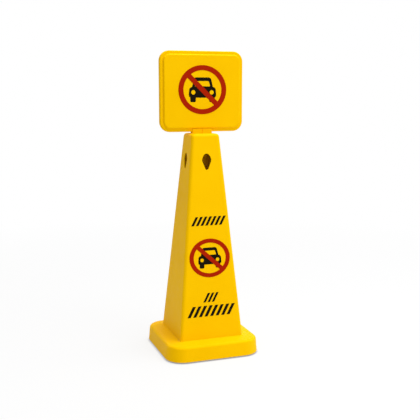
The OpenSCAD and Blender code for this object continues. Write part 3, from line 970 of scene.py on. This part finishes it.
# %% Finishes: zinc-plated steel
steel, tree, place = new_finish("zinc_plated_steel")
patches = add(tree, "ShaderNodeTexNoise", {"Scale": 1 / (1.4 * MM), "Detail": 3.0}, {"Vector": place})
cloud = add(tree, "ShaderNodeMapRange", {"To Min": 0.26, "To Max": 0.5}, {"Value": patches.outputs["Fac"]})
tones = add(tree, "ShaderNodeMix", {MIX_FIRST: linear("#ABADB0"), MIX_SECOND: linear("#CFD0CE")},
            {MIX_SHARE: patches.outputs["Fac"]}, data_type="RGBA")
shader = add(tree, "ShaderNodeBsdfPrincipled", {"Metallic": 1.0},
             {"Base Color": tones.outputs[MIX_RESULT], "Roughness": cloud.outputs["Result"]})
add(tree, "ShaderNodeOutputMaterial", links={"Surface": shader.outputs["BSDF"]})
print(steel.name, "has", len(tree.nodes), "nodes")

# %% [markdown]
# ### Printing inks
# The figures are screen printed. Ink lies in an even, dull film, and the mesh of the screen leaves a
# faint unevenness. A real screen has several threads to the millimetre, too fine to show, so it is drawn
# at 1 mm. The two inks differ only in colour and roughness, so one function makes both.

# %% Finishes: red and black ink
def ink(name, first, second, roughness):
    """A screen ink that drifts between two tones."""
    material, tree, place = new_finish(name)
    patch = add(tree, "ShaderNodeTexNoise", {"Scale": 1 / (15 * MM), "Detail": 3.0}, {"Vector": place})
    mesh = add(tree, "ShaderNodeTexNoise", {"Scale": 1 / (1 * MM)}, {"Vector": place})
    skin = add(tree, "ShaderNodeBump", {"Strength": 0.15, "Distance": 0.02 * MM},
               {"Height": mesh.outputs["Fac"]})
    tones = add(tree, "ShaderNodeMix", {MIX_FIRST: linear(first), MIX_SECOND: linear(second)},
                {MIX_SHARE: patch.outputs["Fac"]}, data_type="RGBA")
    shader = add(tree, "ShaderNodeBsdfPrincipled", {"Roughness": roughness, "Specular IOR Level": 0.03},
                 {"Base Color": tones.outputs[MIX_RESULT], "Normal": skin.outputs["Normal"]})
    add(tree, "ShaderNodeOutputMaterial", links={"Surface": shader.outputs["BSDF"]})
    return material


red_ink = ink("red_screen_ink", "#A01B00", "#AE2200", roughness=0.55)
black_ink = ink("black_screen_ink", "#110D05", "#1B150A", roughness=0.6)
print("inks:", red_ink.name, black_ink.name)

# %% [markdown]
# ## Putting it together
# Each piece gets its finish, rides on the body that carries it, and stands for the CAD nodes that it
# replaces. The ballast ring and the feet keep their CAD solids, whose shapes are right, and only get a
# finish.

# %% Dress the bodies
PIECES = (
    (cone, "cone", yellow, "yellow_plastic", ["cone_shell"]),
    (ballast_screws, "cone", steel, "screw_steel", ["ballast_screws"]),
    (board_front, "sign_board", yellow, "yellow_plastic", ["board_front_shell"]),
    (board_rear, "sign_board", yellow, "yellow_plastic", ["board_rear_shell"]),
    (stem, "sign_board", yellow, "yellow_plastic", ["board_stem"]),
    (board_screws, "sign_board", steel, "screw_steel", ["board_screws"]),
    (stem_screws, "sign_board", steel, "screw_steel", ["stem_screws"]),
    (board_ring, "sign_board", red_ink, "print_red", []),
    (board_car, "sign_board", black_ink, "print_black", []),
    (cone_ring, "cone", red_ink, "print_red", []),
    (cone_car, "cone", black_ink, "print_black", []),
    *[(row, "cone", black_ink, "print_black", []) for row in row_prints],
)
for piece, body, material, slot_name, nodes in PIECES:
    piece.data.materials.clear()
    piece.data.materials.append(material)
    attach(piece, body)
    if nodes:
        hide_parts(*nodes)

for name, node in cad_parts.items():
    if name == "ballast_ring" or name.startswith("foot_"):
        node.data.materials.clear()
        node.data.materials.append(ballast_rubber if name == "ballast_ring" else foot_rubber)
print(len(PIECES), "pieces dressed")

# %% [markdown]
# ## Studio
# The picture is a plain product shot: white all round, soft light from the front right and from above,
# and the left side in gentle shade. More light would whiten the background, but the object with it. So
# the world is white only to the camera, to reflections and to clear materials, and lights the object at a
# lower level, at which colours render about as they are written.

# %% Studio: world
AMBIENT = 0.53
scene = bpy.context.scene
scene.view_settings.view_transform = "Standard"


def seen_directly(tree):
    """An output that is 1 for what the camera, reflections and clear materials see, and otherwise 0."""
    path = add(tree, "ShaderNodeLightPath")
    plain = add(tree, "ShaderNodeMath", operation="MAXIMUM",
                links={0: path.outputs["Is Camera Ray"], 1: path.outputs["Is Glossy Ray"]})
    either = add(tree, "ShaderNodeMath", operation="MAXIMUM",
                 links={0: plain.outputs[0], 1: path.outputs["Is Transmission Ray"]})
    return either.outputs[0]


world = bpy.data.worlds.new("studio_white")
scene.world = world
world.use_nodes = True
tree = world.node_tree
tree.nodes.clear()
level = add(tree, "ShaderNodeMapRange", {"To Min": AMBIENT, "To Max": 1.0}, {"Value": seen_directly(tree)})
sky = add(tree, "ShaderNodeBackground", {"Color": (1, 1, 1, 1)}, {"Strength": level.outputs["Result"]})
add(tree, "ShaderNodeOutputWorld", links={"Surface": sky.outputs["Background"]})
print("ambient level", AMBIENT)

# %% [markdown]
# The floor is a sheet of white paper that has to vanish into the background and still carry a faint
# shadow. Near the object a fifth of what is seen is true matt paper, which takes the shadow, and the rest
# is plain white. Further out it is all white. Ambient occlusion darkens the white in the narrow gap under
# the base.

# %% Studio: floor
FLOOR_SIDE = 16
FADE_FROM, FADE_TO, WHITE_SHARE = 0.5, 2.5, 0.8
GAP_REACH = 8 * MM

clear_bench()
bpy.ops.mesh.primitive_plane_add(size=FLOOR_SIDE)
floor = settle("studio_floor")
paper, tree, place = new_finish("white_studio_paper")
reach = add(tree, "ShaderNodeVectorMath", links={0: place}, operation="LENGTH")
fade = add(tree, "ShaderNodeMapRange",
           {"From Min": FADE_FROM, "From Max": FADE_TO, "To Min": WHITE_SHARE, "To Max": 1.0},
           {"Value": reach.outputs["Value"]})
share = add(tree, "ShaderNodeMath", links={0: seen_directly(tree), 1: fade.outputs["Result"]},
            operation="MULTIPLY")
matt = add(tree, "ShaderNodeBsdfDiffuse", {"Color": linear("#E0E0E0")})
gap = add(tree, "ShaderNodeAmbientOcclusion", {"Distance": GAP_REACH})
white = add(tree, "ShaderNodeEmission", {"Strength": 1.0}, {"Color": gap.outputs["Color"]})
mixed = add(tree, "ShaderNodeMixShader",
            links={0: share.outputs[0], 1: matt.outputs["BSDF"], 2: white.outputs[0]})
add(tree, "ShaderNodeOutputMaterial", links={"Surface": mixed.outputs["Shader"]})
floor.data.materials.append(paper)
print("floor of", round(floor.dimensions.x, 1), "m")

# %% [markdown]
# A point lamp would throw hard shadows, so both lamps are broad areas, as softboxes are. The weaker one
# stands low in front on the right, and the stronger one hangs above. The camera stands where the
# photograph was taken from: a little to the left, about as high as the sign board.

# %% Studio: lamps and camera
AIM = Vector((0, 0, 0.45))
CAMERA_PLACE = (-0.76433, -2.24207, 0.8303)
# The camera's angles are in degrees, and its lens and sensor in millimetres.
CAMERA_TILT, CAMERA_TURN = 80.955, -19.498
LENS, SENSOR = 63.75, 36


def soft_lamp(name, power, size, place):
    """A square area lamp that faces the middle of the object."""
    clear_bench()
    bpy.ops.object.light_add(type="AREA", location=place)
    lamp = bpy.context.object
    lamp.name = name
    lamp.data.energy, lamp.data.size = power, size
    lamp.rotation_euler = (lamp.location - AIM).to_track_quat("Z", "Y").to_euler()


soft_lamp("key_lamp", power=11, size=1.5, place=(1.5, -2.3, 0.6))
soft_lamp("top_lamp", power=126, size=2.6, place=(0.8, -0.5, 3.5))

clear_bench()
bpy.ops.object.camera_add(location=CAMERA_PLACE,
                          rotation=(math.radians(CAMERA_TILT), 0, math.radians(CAMERA_TURN)))
camera = bpy.context.object
camera.data.lens = LENS
camera.data.sensor_width = SENSOR
scene.camera = camera
print("camera", round(camera.location.length, 3), "m from the origin, lens", camera.data.lens, "mm")
